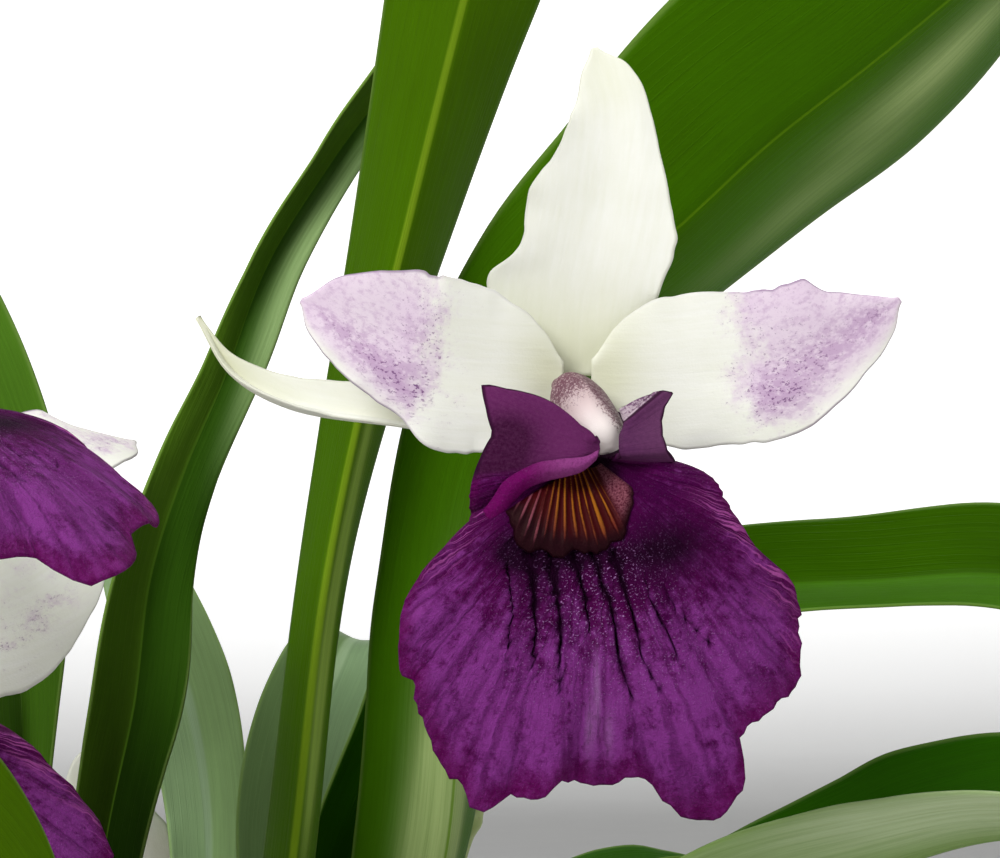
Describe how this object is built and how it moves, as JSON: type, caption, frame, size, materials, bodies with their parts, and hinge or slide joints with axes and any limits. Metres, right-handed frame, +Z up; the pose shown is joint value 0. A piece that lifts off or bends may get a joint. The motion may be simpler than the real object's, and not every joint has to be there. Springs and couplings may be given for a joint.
{
  "type": "potted cochleanthes orchid",
  "caption": "Orchid in a plain clay pot of bark: arching strap leaves and pale flowers with speckled petals and a broad purple ruffled lip.",
  "frame": {"origin": "middle of the pot's flat base, on the surface it stands on", "axes": "+Z up, -Y the way the main flower faces, +X to the right of a viewer who faces that flower"},
  "size_m": [0.2919, 0.2485, 0.3483],
  "materials": {
    "clay": "matte",
    "bark": "matte",
    "leaf_bright": "satin",
    "leaf_mid": "satin",
    "leaf_dark": "satin",
    "leaf_soft": "satin",
    "stalk": "satin",
    "sepal": "matte",
    "petal": "matte",
    "lip": "matte",
    "callus": "satin",
    "column": "satin"
  },
  "bodies": {
    "root": {"pot": "clay", "bark": "bark", "leaf_waved_left": "leaf_mid", "leaf_centre_strap": "leaf_bright", "leaf_broad_right": "leaf_bright", "leaf_dark_middle": "leaf_dark", "leaf_level_right": "leaf_mid", "leaf_channel_right": "leaf_mid", "leaf_far_left": "leaf_mid", "leaf_front_left": "leaf_bright", "leaf_back_left": "leaf_soft", "leaf_back_right": "leaf_soft", "leaf_low_back_right": "leaf_mid", "leaf_low_back_left": "leaf_mid", "leaf_low_front_right": "leaf_bright", "leaf_low_left": "leaf_mid", "leaf_low_right": "leaf_mid", "stalk_a": "stalk", "stalk_b": "stalk", "stalk_c": "stalk", "stalk_d": "stalk", "bloom_a_dorsal_sepal": "sepal", "bloom_a_petal_left": "petal", "bloom_a_petal_right": "petal", "bloom_a_lateral_sepal_left": "sepal", "bloom_a_lateral_sepal_right": "sepal", "bloom_a_lip": "lip", "bloom_a_callus": "callus", "bloom_a_column": "column", "bloom_b_dorsal_sepal": "sepal", "bloom_b_petal_left": "petal", "bloom_b_petal_right": "petal", "bloom_b_lateral_sepal_left": "sepal", "bloom_b_lateral_sepal_right": "sepal", "bloom_b_lip": "lip", "bloom_b_callus": "callus", "bloom_b_column": "column", "bloom_c_dorsal_sepal": "sepal", "bloom_c_petal_left": "petal", "bloom_c_petal_right": "petal", "bloom_c_lateral_sepal_left": "sepal", "bloom_c_lateral_sepal_right": "sepal", "bloom_c_lip": "lip", "bloom_c_callus": "callus", "bloom_c_column": "column", "bloom_d_dorsal_sepal": "sepal", "bloom_d_petal_left": "petal", "bloom_d_petal_right": "petal", "bloom_d_lateral_sepal_left": "sepal", "bloom_d_lateral_sepal_right": "sepal", "bloom_d_lip": "lip", "bloom_d_callus": "callus", "bloom_d_column": "column"}
  },
  "joints": []
}
